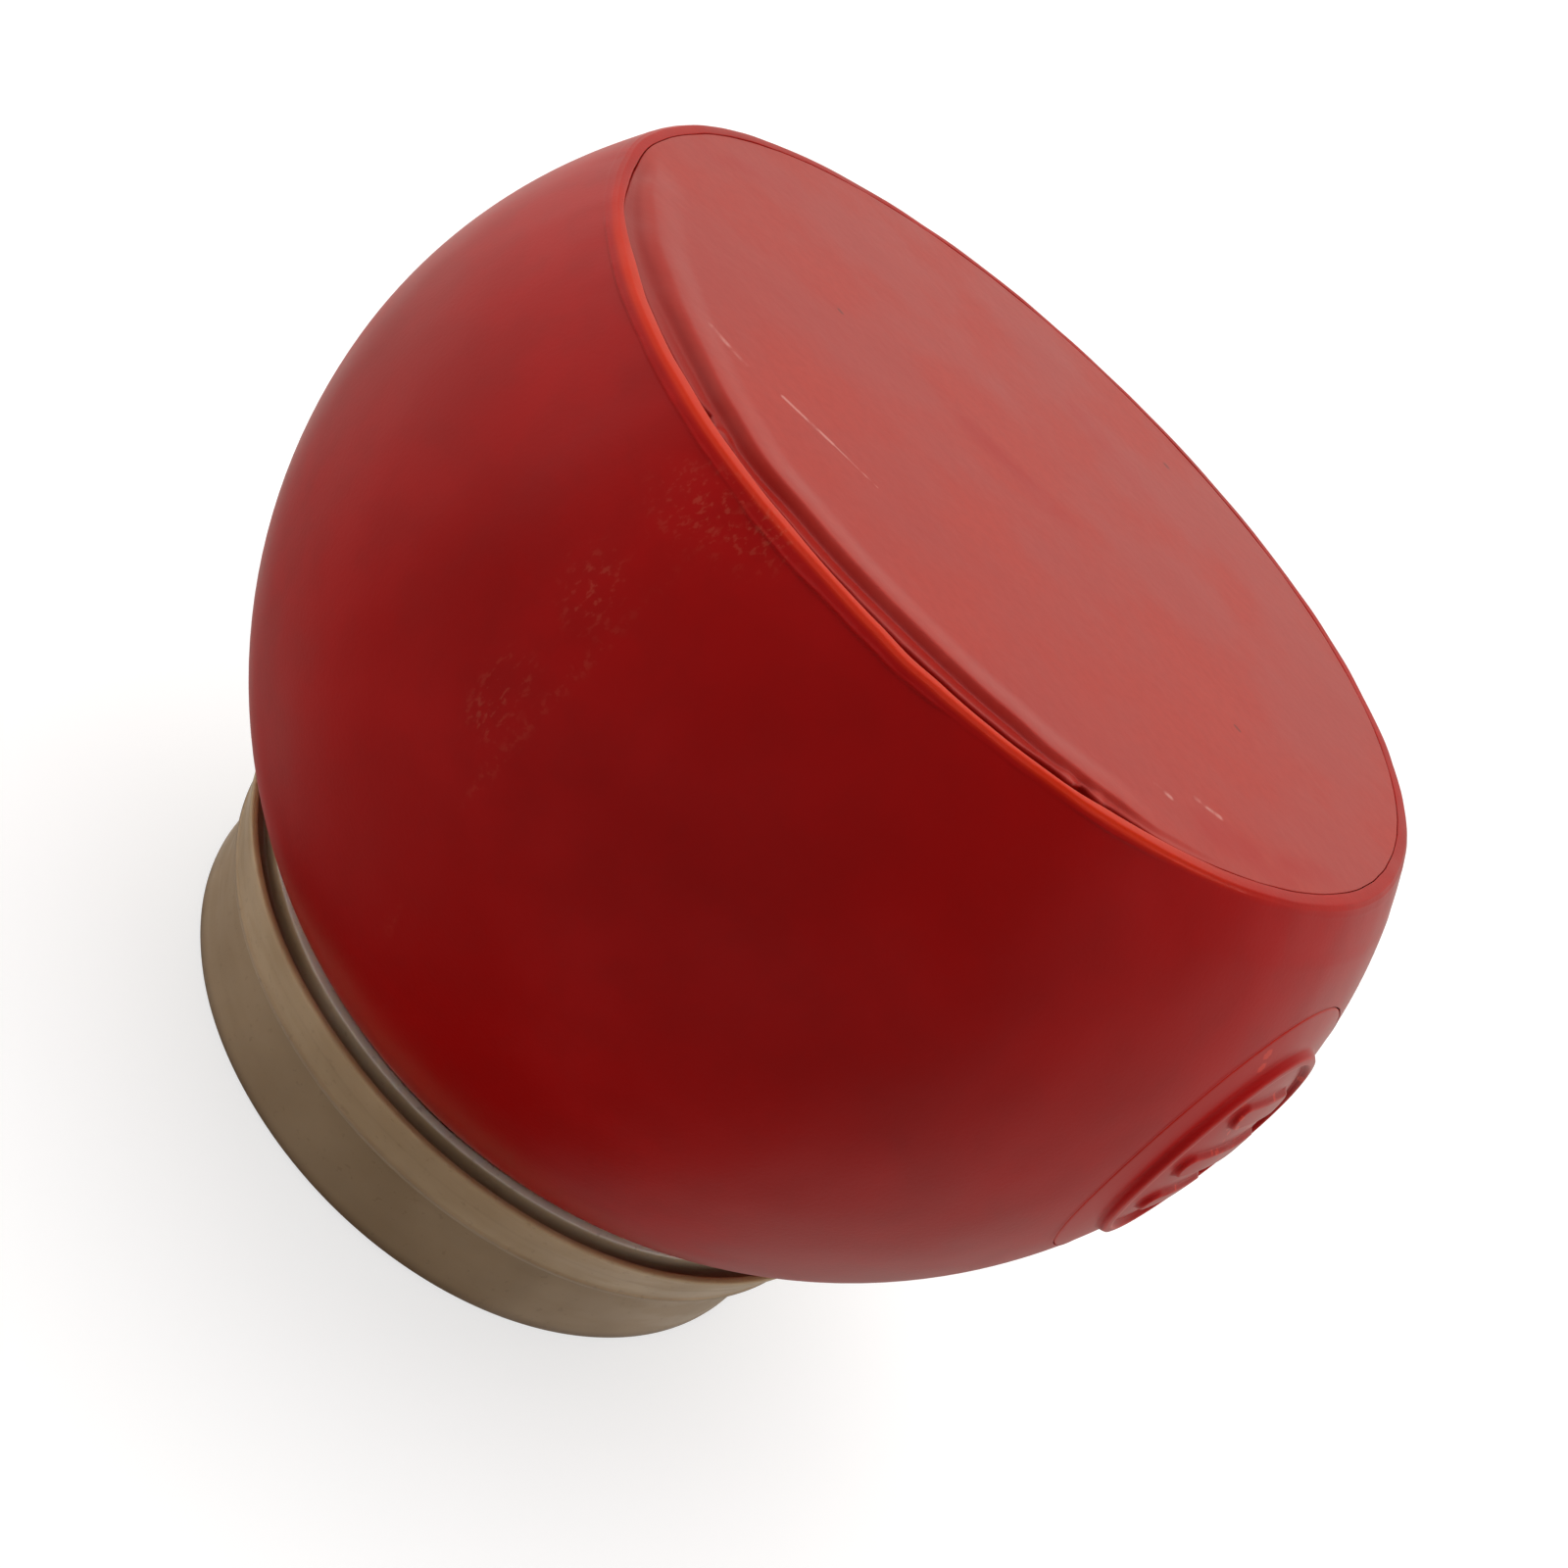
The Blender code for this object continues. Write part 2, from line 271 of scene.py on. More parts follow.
def shell_place(station, angle):
    """A point of the shell, from its outside foot up over the lip and down the inside of the hollow."""
    kind, value = station
    if kind == "skin":
        top = FACE_Z - crease(angle) - SKIN_STOP
        if value <= 1.0:
            z = BALL_BOTTOM + BOWL_DEPTH * (1.0 - math.cos(value * math.pi / 2))
        else:
            z = WIDEST_Z + (top - WIDEST_Z) * math.sin((value - 1.0) * math.pi / 2)
        return at(skin_radius(z, angle), angle, z)
    if kind == "crease":
        below = crease(angle) - value * MM
        ridge = CREASE_RIDGE * by_angle(CREASE_SHARE, angle) * math.exp(-((value / 0.07) ** 2))
        ridge += CREASE_STEP * soft_step(-0.1, 0.1, value) * by_angle(CREASE_SHARE, angle)
        ridge *= 1.0 + 0.5 * ripple(angle, 150, 4.0)
        z = FACE_Z - below
        return at(skin_radius(z, angle) + ridge, angle, z)
    if kind == "band":
        low, high = FACE_Z - crease(angle) + 0.16 * MM, lip_top(angle) - LIP_ROUND
        z = low + (high - low) * value
        lean = CREASE_STEP * by_angle(CREASE_SHARE, angle) * (1.0 - value)
        return at(skin_radius(z, angle) + lean, angle, z)
    if kind == "round":
        turn = math.radians(value)
        inner_round = (0.05 + 0.10 * wear(angle)) * MM
        rounding = LIP_ROUND if value <= 90 else inner_round
        centre = lip_outer(angle) - rounding if value <= 90 else lip_inner(angle) + rounding
        z = lip_top(angle) - rounding * (1.0 - math.sin(turn))
        return at(centre + rounding * math.cos(turn), angle, z)
    if kind == "mouth":
        # The mouth's wall, from the worn lip down to where the shell's own even wall begins.
        wall = form_radius(FACE_Z) - LIP_WALL
        z = lip_top(angle) - LIP_ROUND - value * MM
        return at(lip_inner(angle) + (wall - lip_inner(angle)) * soft_step(0.3, 1.6, value), angle, z)
    turn = math.radians(value)
    half_height = (CROWN_HEIGHT if value > 0 else BOWL_DEPTH) - SHELL_WALL
    return at((BALL_RADIUS - SHELL_WALL) * math.cos(turn), angle, WIDEST_Z + half_height * math.sin(turn))


def shell_stations():
    """The shell's rows in order, each with its stretch and its place along it."""
    skin = [("skin", row / BOWL_ROWS) for row in range(1, BOWL_ROWS + 1)]
    skin += [("skin", 1.0 + row / CROWN_ROWS) for row in range(1, CROWN_ROWS + 1)]
    trims = [("crease", value) for value in (-0.2, -0.13, -0.08, -0.04, 0.0, 0.04, 0.08, 0.12)]
    band = [("band", row / BAND_ROWS) for row in range(BAND_ROWS + 1)]
    rounds = [("round", value) for value in (22, 45, 67, 90, 90.001, 113, 135, 158, 180)]
    mouth = [("mouth", value) for value in (0.1, 0.3, 0.6, 1.0, 1.6, 2.6, 4.2)]
    share = (form_radius(FACE_Z) - LIP_WALL) / (BALL_RADIUS - SHELL_WALL)
    turn_in = math.degrees(math.acos(share))
    sweep = turn_in + HOLLOW_END
    hollow = [("hollow", turn_in - sweep * row / HOLLOW_ROWS) for row in range(HOLLOW_ROWS + 1)]
    return skin + trims + band + rounds + mouth + hollow


def oval_point(oval, turn, stretch=1.0):
    """A point on an oval's line, or on that line stretched."""
    return (oval[0] * stretch * math.cos(turn), oval[1] * stretch * math.sin(turn))


def on_ball(y, z, lift=0.0):
    """The point of the ball's form, on the badge's side, at y and z, moved out along the badge's axis."""
    radius = form_radius(z)
    return (math.sqrt(max(0.0, radius * radius - y * y)) + lift, y, z)


def make_shell(finish):
    """The shell in one closed skin, with a pocket for the badge woven into its side."""
    columns = round_columns()
    stations = shell_stations()
    around = len(columns)
    rows_z = [shell_place(station, 0.0)[2] for station in stations]
    skin_rows = [row for row, station in enumerate(stations) if station[0] == "skin"]
    held_rows = [row for row in skin_rows if abs(rows_z[row] - WIDEST_Z) <= PATCH_HALF_HEIGHT]
    held_columns = [place for place, angle in enumerate(columns) if abs(angle) <= PATCH_HALF_ANGLE - 0.1]
    low_row, high_row = held_rows[0], held_rows[-1]
    left, right = held_columns[0], held_columns[-1]

    def in_patch(row, column):
        return low_row <= row < high_row and left <= column < right

    tips = (BALL_BOTTOM, BALL_BOTTOM + SHELL_WALL)
    points, faces = wound(columns, stations, shell_place, tips, in_patch)
    edge = [low_row * around + column for column in range(left, right)]
    edge += [row * around + right for row in range(low_row, high_row)]
    edge += [high_row * around + column for column in range(right, left, -1)]
    edge += [row * around + left for row in range(high_row, low_row, -1)]
    turns = []
    for index in edge:
        _, y, z = points[index]
        turns.append(math.atan2((z - BADGE_Z) / POCKET_OVAL[1], y / POCKET_OVAL[0]))

    def add_ring(place):
        first = len(points)
        points.extend(place(turn, index) for turn, index in zip(turns, edge))
        return list(range(first, first + len(edge)))

    def bridge(outer, inner):
        for step in range(len(outer)):
            after = (step + 1) % len(outer)
            faces.append((outer[step], outer[after], inner[after], inner[step]))

    def blend_ring(share):
        def place(turn, index):
            y, z = oval_point(POCKET_OVAL, turn)
            _, edge_y, edge_z = points[index]
            return on_ball(edge_y * share + y * (1 - share), edge_z * share + (z + BADGE_Z) * (1 - share))
        return add_ring(place)

    def oval_ring(stretch, lift):
        def place(turn, index):
            y, z = oval_point(POCKET_OVAL, turn, stretch)
            return on_ball(y, z + BADGE_Z, lift)
        return add_ring(place)

    last = edge
    for step in range(1, PATCH_RINGS):
        ring = blend_ring((1.0 - step / PATCH_RINGS) ** PATCH_EASE)
        bridge(last, ring)
        last = ring
    for stretch, lift in (
        (1.012, 0.0), (1.006, 0.02 * MM), (1.002, 0.0), (1.0, -0.06 * MM), (0.9995, -0.4 * MM),
        (0.999, -INLAY_DEPTH), (0.96, -INLAY_DEPTH), (0.7, -INLAY_DEPTH), (0.4, -INLAY_DEPTH),
        (0.15, -INLAY_DEPTH),
    ):
        ring = oval_ring(stretch, lift)
        bridge(last, ring)
        last = ring
    points.append(on_ball(0.0, BADGE_Z, -INLAY_DEPTH))
    for step in range(len(last)):
        faces.append((len(points) - 1, last[step], last[(step + 1) % len(last)]))
    points, faces = loose_free(points, faces)
    return mesh_piece("ball_skin", points, faces, finish, "ball", "ball_shell")


def loose_free(points, faces):
    """Drops the points that no face uses."""
    used = sorted({index for face in faces for index in face})
    renumber = {old: new for new, old in enumerate(used)}
    return [points[index] for index in used], [tuple(renumber[index] for index in face) for face in faces]


# ---------------------------------------------------------------- the pad

# The pad's cast edge, in mm.
BEAD_WIDTH = 2.1
BEAD_RISE = 0.12
LEDGE_RISE = 0.07
LEDGE_RUN = 1.1
PAD_SET = 0.02  # how far the pad's top lies below the face
PAD_FOOT_RADIUS = 26.5
LIP_CLEARANCE = 0.04
TORN_REACH = 0.55
TORN_RISE = 0.25
FLAT_ROWS, BEAD_ROWS, STEP_ROWS, LEDGE_ROWS = 34, 14, 9, 10


def pad_edge(angle):
    """The radius of the pad's outer edge, ragged where it is worn and against the lip elsewhere (mm)."""
    edge = by_angle(PAD_EDGE, angle)
    worn = wear(angle)
    edge += worn * (0.07 * ripple(angle, 70, 2.0) + 0.04 * ripple(angle, 200, 6.0))
    for spot, reach in TORN_SPOTS:
        edge += reach * math.exp(-(((angle - RIM_TURN - spot) / 0.75) ** 2))
    edge = min(edge, by_angle(PAD_EDGE, angle) + TORN_REACH)
    against_lip = lip_inner(angle) / MM - LIP_CLEARANCE
    return min(edge * worn + against_lip * (1.0 - worn), against_lip)


def pad_height(radius, angle):
    """Height of the pad's top from the face: a flat, a slight bead, then a step to a low ledge (mm)."""
    step = by_angle(STEP_RADIUS, angle)
    drop = by_angle(STEP_DROP, angle)
    width = by_angle(STEP_WIDTH, angle)
    worn = soft_step(0.0, 0.25, drop)
    height = BEAD_RISE * worn * soft_step(step - BEAD_WIDTH, step - 0.2, radius)
    height -= (drop + BEAD_RISE * worn) * soft_step(step, step + width, radius)
    height += LEDGE_RISE * worn * soft_step(step + width, step + width + LEDGE_RUN, radius)
    turn = math.radians(angle)
    where = Vector((radius * math.cos(turn), radius * math.sin(turn), 0.0))
    height += 0.018 * noise.noise(where / 9.0) + 0.008 * noise.noise(where / 3.1 + Vector((5.0, 2.0, 1.0)))
    for spot, reach in TORN_SPOTS:
        near_spot = math.exp(-(((angle - RIM_TURN - spot) / 0.8) ** 2)) * soft_step(25.4, 26.2, radius)
        height += TORN_RISE * reach * near_spot
    return height - PAD_SET


def pad_place(station, angle):
    """A point of the pad, from the middle of its top out to its edge and down its side."""
    kind, value = station
    step = by_angle(STEP_RADIUS, angle)
    edge = pad_edge(angle)
    step_end = min(step + by_angle(STEP_WIDTH, angle), edge - 0.16)
    step = min(step, step_end - 0.05)
    rolled = 0.05 + 0.09 * wear(angle)
    if kind == "flat":
        radius = (step - BEAD_WIDTH) * value
    elif kind == "bead":
        radius = step - BEAD_WIDTH + BEAD_WIDTH * value
    elif kind == "step":
        radius = step + (step_end - step) * value
    elif kind == "ledge":
        radius = step_end + (edge - rolled - step_end) * value
    elif kind == "roll":
        turn = math.radians(value)
        top = pad_height(edge - rolled, angle) - rolled * (1 - math.cos(turn))
        return at((edge - rolled + rolled * math.sin(turn)) * MM, angle, FACE_Z + top * MM)
    else:
        top = FACE_Z + (pad_height(edge - rolled, angle) - rolled) * MM
        radius = edge * (1 - value) + min(edge, PAD_FOOT_RADIUS) * value
        return at(radius * MM, angle, top + (PAD_FLOOR_Z - top) * value)
    return at(radius * MM, angle, FACE_Z + pad_height(radius, angle) * MM)


def make_pad(finish):
    """The tacky pad: one closed cast disc that fills the shell's mouth."""
    columns = round_columns()
    stations = []
    for kind, rows in (("flat", FLAT_ROWS), ("bead", BEAD_ROWS), ("step", STEP_ROWS), ("ledge", LEDGE_ROWS)):
        stations += [(kind, row / rows) for row in range(1, rows + 1)]
    stations += [("roll", value) for value in (22, 45, 68, 90)]
    stations += [("side", value) for value in (0.12, 0.4, 0.7, 1.0)]
    points, faces = wound(columns, stations, pad_place, (FACE_Z - PAD_SET * MM, None))
    around = len(columns)
    foot = (len(stations) - 1) * around
    last = list(range(foot, foot + around))
    for share in (0.85, 0.6, 0.3):
        first = len(points)
        points.extend((x * share, y * share, PAD_FLOOR_Z) for x, y, _ in points[foot:foot + around])
        ring = list(range(first, first + around))
        for place in range(around):
            after = (place + 1) % around
            faces.append((last[place], last[after], ring[after], ring[place]))
        last = ring
    points.append((0.0, 0.0, PAD_FLOOR_Z))
    faces.extend((len(points) - 1, last[i], last[(i + 1) % around]) for i in range(around))
    return mesh_piece("friction_pad_cast", points, faces, finish, "ball", "friction_pad")


# ---------------------------------------------------------------- the badge

BADGE_AROUND = 264
BADGE_RINGS = 96
BADGE_GAP = 0.07 * MM
BAR_PITCH = 3.5 * MM
BAR_HALF_WIDTH = 0.8 * MM
BAR_HALF_LENGTHS = (3.0 * MM, 4.2 * MM, 3.0 * MM)


def bar_distance(y, z):
    """Distance from a point of the field to the nearest bar's edge, negative inside it."""
    nearest = 1.0
    for place, half_length in enumerate(BAR_HALF_LENGTHS):
        centre = (place - 1) * BAR_PITCH
        across = max(0.0, abs(y) - (half_length - BAR_HALF_WIDTH))
        nearest = min(nearest, math.hypot(z - centre, across) - BAR_HALF_WIDTH)
    return nearest


def oval_distance(y, z, oval):
    """Nearly the distance from a point to an oval's line, negative inside it."""
    reach = math.hypot(y / oval[0], z / oval[1])
    if reach < 1e-6:
        return -min(oval)
    slope = math.hypot(y / oval[0] ** 2, z / oval[1] ** 2) / reach
    return (reach - 1.0) / slope


def badge_lift(y, z):
    """How far the badge's top stands off the ball's form: its frame, its bars and its eased margin."""
    outside = oval_distance(y, z, FRAME_OVAL)
    inside = -(outside + FRAME_WIDTH)
    frame_lift = soft_step(0.10 * MM, -0.12 * MM, outside) * soft_step(0.10 * MM, -0.12 * MM, inside)
    crown = 1.0 - 0.12 * ((outside + FRAME_WIDTH / 2) / (FRAME_WIDTH / 2)) ** 2
    bars = soft_step(0.12 * MM, -0.14 * MM, bar_distance(y, z))
    margin = -0.05 * MM * soft_step(-0.15 * MM, 0.0, oval_distance(y, z, POCKET_OVAL))
    return FRAME_RISE * max(frame_lift * crown, bars * 0.72) + margin


def make_badge(finish):
    """The oval inlay: flush margin, raised oval frame and three plain level bars, on the ball's own form."""
    outer = (POCKET_OVAL[0] - BADGE_GAP, POCKET_OVAL[1] - BADGE_GAP)
    turns = [math.tau * step / BADGE_AROUND for step in range(BADGE_AROUND)]
    rings = [row / BADGE_RINGS for row in range(1, BADGE_RINGS + 1)]
    points, faces = [], []

    def add_ring(place):
        first = len(points)
        points.extend(place(turn) for turn in turns)
        return list(range(first, first + BADGE_AROUND))

    def top(stretch):
        def place(turn):
            y, z = oval_point(outer, turn, stretch)
            return on_ball(y, z + BADGE_Z, badge_lift(y, z))
        return place

    def under(stretch, depth):
        def place(turn):
            y, z = oval_point(outer, turn, stretch)
            return on_ball(y, z + BADGE_Z, -depth)
        return place

    floor_depth = INLAY_DEPTH - FIT_GAP
    places = [top(stretch) for stretch in rings]
    places += [under(1.0, depth) for depth in (0.15 * MM, 0.6 * MM, floor_depth)]
    places += [under(stretch, floor_depth) for stretch in (0.7, 0.3)]
    last = None
    for place in places:
        ring = add_ring(place)
        if last:
            for step in range(BADGE_AROUND):
                after = (step + 1) % BADGE_AROUND
                faces.append((last[step], last[after], ring[after], ring[step]))
        last = ring
    for lift, ring in ((badge_lift(0, 0), 0), (-floor_depth, len(places) - 1)):
        points.append(on_ball(0, BADGE_Z, lift))
        for step in range(BADGE_AROUND):
            start = ring * BADGE_AROUND
            faces.append((len(points) - 1, start + step, start + (step + 1) % BADGE_AROUND))
    return mesh_piece("badge_inlay", points, faces, finish, "ball", "badge")


# ---------------------------------------------------------------- the stand ring

SEAT_RADIUS = 21.8 * MM
SEAT_GAP = 0.04 * MM
SEAT_ROWS = 8
LONGEST_SIDE = 0.5 * MM
RING_COLUMNS = 360
LAND_WIDTH = 0.7 * MM
GROOVE_WIDTH = 0.9 * MM
GROOVE_DEPTH = 0.9 * MM
RING_LIP_WIDTH = 0.5 * MM
FLANGE_DEPTH = 3.8 * MM
FLANGE_FLARE = 1.1 * MM
UNDERCUT = 0.9 * MM
RING_WALL = 2.4 * MM


def eased_corner(corner, before, after, radius, steps=4):
    """Points of a small round at a profile's corner."""
    corner, before, after = Vector(corner), Vector(before), Vector(after)
    start = corner + (before - corner).normalized() * radius
    end = corner + (after - corner).normalized() * radius
    return [
        tuple(start * (1 - share) ** 2 + corner * (2 * share * (1 - share)) + end * share ** 2)
        for share in (step / steps for step in range(steps + 1))
    ]


def divided(points, longest):
    """The same closed outline, with long sides split so that the finish has points to bend on."""
    split = []
    for start, end in zip(points, points[1:] + points[:1]):
        pieces = max(1, math.ceil(math.dist(start, end) / longest))
        split += [tuple(a + (b - a) * part / pieces for a, b in zip(start, end)) for part in range(pieces)]
    return split


def ring_profile():
    """The ring's closed outline, as (radius, height): seat, land, groove, lip, flange, wall and foot."""
    land_radius = SEAT_RADIUS + LAND_WIDTH
    groove_outer = land_radius + GROOVE_WIDTH
    lip_radius = groove_outer + RING_LIP_WIDTH
    ridge_radius = lip_radius - FLANGE_FLARE
    wall_radius = ridge_radius - UNDERCUT
    bore_radius = wall_radius - RING_WALL
    seat = []
    for row in range(SEAT_ROWS + 1):
        radius = bore_radius + (SEAT_RADIUS - bore_radius) * row / SEAT_ROWS
        share = radius / (BALL_RADIUS + SEAT_GAP)
        seat.append((radius, WIDEST_Z - (BOWL_DEPTH + SEAT_GAP) * math.sqrt(1.0 - share * share)))
    land_z = seat[-1][1]
    groove_z = land_z - GROOVE_DEPTH
    ridge_z = RING_TOP - FLANGE_DEPTH
    corners = [
        ((SEAT_RADIUS, land_z), 0.05), ((land_radius, land_z + 0.05 * MM), 0.12),
        ((land_radius, groove_z), 0.2),
        ((groove_outer, groove_z), 0.2), ((groove_outer, RING_TOP), 0.12), ((lip_radius, RING_TOP), 0.22),
        ((ridge_radius, ridge_z + 0.35 * MM), 0.2), ((ridge_radius + 0.16 * MM, ridge_z + 0.15 * MM), 0.12),
        ((ridge_radius - 0.05 * MM, ridge_z), 0.18), ((wall_radius, ridge_z - UNDERCUT / 2), 0.3),
        ((wall_radius, 0.0), 0.5), ((bore_radius, 0.0), 0.5),
    ]
    outline = seat[:-1]
    marks = [seat[-2]] + [corner for corner, _ in corners] + [seat[0]]
    for place, (corner, radius) in enumerate(corners):
        outline += eased_corner(corner, marks[place], marks[place + 2], radius * MM)
    return divided(outline, LONGEST_SIDE)


def make_ring(finish):
    """The open ring: seat, narrow groove, flared flange and plain wall, slightly out of round."""
    outline = ring_profile()

    def place(station, angle):
        radius, z = station
        wander = 0.05 * MM * ripple(angle, 6, 8.0) * soft_step(20.5 * MM, 22.4 * MM, radius)
        sag = 0.05 * MM * ripple(angle, 9, 12.0) * soft_step(7.0 * MM, 9.6 * MM, z)
        return at(radius + wander, angle, z + sag)

    columns = [360.0 * step / RING_COLUMNS for step in range(RING_COLUMNS)]
    points, faces = wound(columns, outline, place, closed=True)
    return mesh_piece("stand_ring_moulded", points, faces, finish, "stand", "stand_ring")


# ---------------------------------------------------------------- finishes

WHITE = (1.0, 1.0, 1.0, 1.0)
EASED = {"interpolation_type": "SMOOTHSTEP"}


def linear(hex_colour):
    """An sRGB hex colour as the linear colour that a shader takes."""
    channels = [int(hex_colour[place:place + 2], 16) / 255.0 for place in (1, 3, 5)]
    return tuple(c / 12.92 if c <= 0.04045 else ((c + 0.055) / 1.055) ** 2.4 for c in channels) + (1.0,)


def add(tree, kind, inputs=None, output=0, **settings):
    """Adds a node with its settings, gives each input its value or its link, and returns an output."""
    node = tree.nodes.new(kind)
    for name, setting in settings.items():
        setattr(node, name, setting)
    for name, given in (inputs or {}).items():
        if isinstance(given, bpy.types.NodeSocket):
            tree.links.new(given, node.inputs[name])
        else:
            node.inputs[name].default_value = given
    return node.outputs[output] if len(node.outputs) else None


def new_finish(name):
    """An empty material, its node tree, and the place on the piece that its patterns go by."""
    finish = bpy.data.materials.new(name)
    finish.use_nodes = True
    tree = finish.node_tree
    tree.nodes.clear()
    return finish, tree, add(tree, "ShaderNodeTexCoord", output="Object")


def finished(tree, inputs):
    """Closes a finish with its shader."""
    shader = add(tree, "ShaderNodeBsdfPrincipled", inputs)
    add(tree, "ShaderNodeOutputMaterial", {"Surface": shader})


def coated(tree, under, mask, weight, over):
    """A colour with another laid over it where a mask is, as strongly as its weight says."""
    share = add(tree, "ShaderNodeMath", {0: mask, 1: weight}, operation="MULTIPLY")
    return add(tree, "ShaderNodeMix", {0: share, 6: under, 7: linear(over)}, 2, data_type="RGBA")


def marks(tree, where, rows):
    """1 along straight marks, each from start to end (mm), falling to 0 across its half width and feather."""
    turned = Matrix.Rotation(math.radians(RIM_TURN), 3, "Z")
    strongest = None
    for start, end, half_width, feather in rows:
        start, end = turned @ Vector(start) * MM, turned @ Vector(end) * MM
        length = (end - start).length
        along = (end - start) / length
        offset = add(tree, "ShaderNodeVectorMath", {0: where, 1: start}, operation="SUBTRACT")
        run = add(tree, "ShaderNodeVectorMath", {0: offset, 1: along}, "Value", operation="DOT_PRODUCT")
        held = add(tree, "ShaderNodeClamp", {"Value": run, "Min": 0.0, "Max": length})
        spot = add(tree, "ShaderNodeVectorMath", {0: along, "Scale": held}, operation="SCALE")
        gap = add(tree, "ShaderNodeVectorMath", {0: offset, 1: spot}, "Value", operation="DISTANCE")
        reach = (half_width + feather) * MM
        fade = {"Value": gap, "From Min": reach, "From Max": half_width * MM}
        mark = add(tree, "ShaderNodeMapRange", fade, **EASED)
        if strongest is None:
            strongest = mark
        else:
            strongest = add(tree, "ShaderNodeMath", {0: strongest, 1: mark}, operation="MAXIMUM")
    return strongest


def speckle(tree, where, size_mm, low, high, detail=2.0, seed=0.0, stretch=(1.0, 1.0, 1.0)):
    """Soft noise of a real size, cut between two levels."""
    shift = (seed, seed * 0.7, seed * 1.3)
    placed = add(tree, "ShaderNodeMapping", {"Vector": where, "Location": shift, "Scale": stretch})
    pattern = {"Vector": placed, "Scale": 1.0 / (size_mm * MM), "Detail": detail, "Roughness": 0.55}
    cloud = add(tree, "ShaderNodeTexNoise", pattern, "Fac")
    return add(tree, "ShaderNodeMapRange", {"Value": cloud, "From Min": low, "From Max": high}, **EASED)


def cast_bump(tree, where, grain_mm, grain_depth, wave_mm, wave_depth):
    """The relief that a mould leaves: a fine grain over a slow waviness."""
    grain_scale, wave_scale = 1.0 / (grain_mm * MM), 1.0 / (wave_mm * MM)
    grain = add(tree, "ShaderNodeTexNoise", {"Vector": where, "Scale": grain_scale, "Detail": 3.0}, "Fac")
    wave = add(tree, "ShaderNodeTexNoise", {"Vector": where, "Scale": wave_scale, "Detail": 1.0}, "Fac")
    fine = add(tree, "ShaderNodeBump", {"Strength": 1.0, "Distance": grain_depth * MM, "Height": grain})
    slow = {"Strength": 1.0, "Distance": wave_depth * MM, "Height": wave, "Normal": fine}
    return add(tree, "ShaderNodeBump", slow)


# Dust on the shell, in mm: three worn spots, then one handling streak that runs down the front.
DUSTY_SPOTS = (
    ((-3.0, -29.2, 49.0), (0.0, -28.3, 50.3), 0.3, 2.6),
    ((-3.0, -31.3, 44.2), (-2.5, -31.3, 43.4), 0.2, 2.2),
    ((-2.4, -32.8, 38.6), (-2.0, -32.8, 36.6), 0.2, 1.8),
)
HANDLING_STREAK = (
    ((-1.0, -28.2, 50.3), (-0.4, -32.2, 41.5), 0.05, 0.5),
    ((-0.4, -32.2, 41.5), (-0.1, -33.0, 34.5), 0.05, 0.6),
    ((-0.1, -33.0, 34.5), (0.6, -31.0, 23.4), 0.05, 0.4),
)


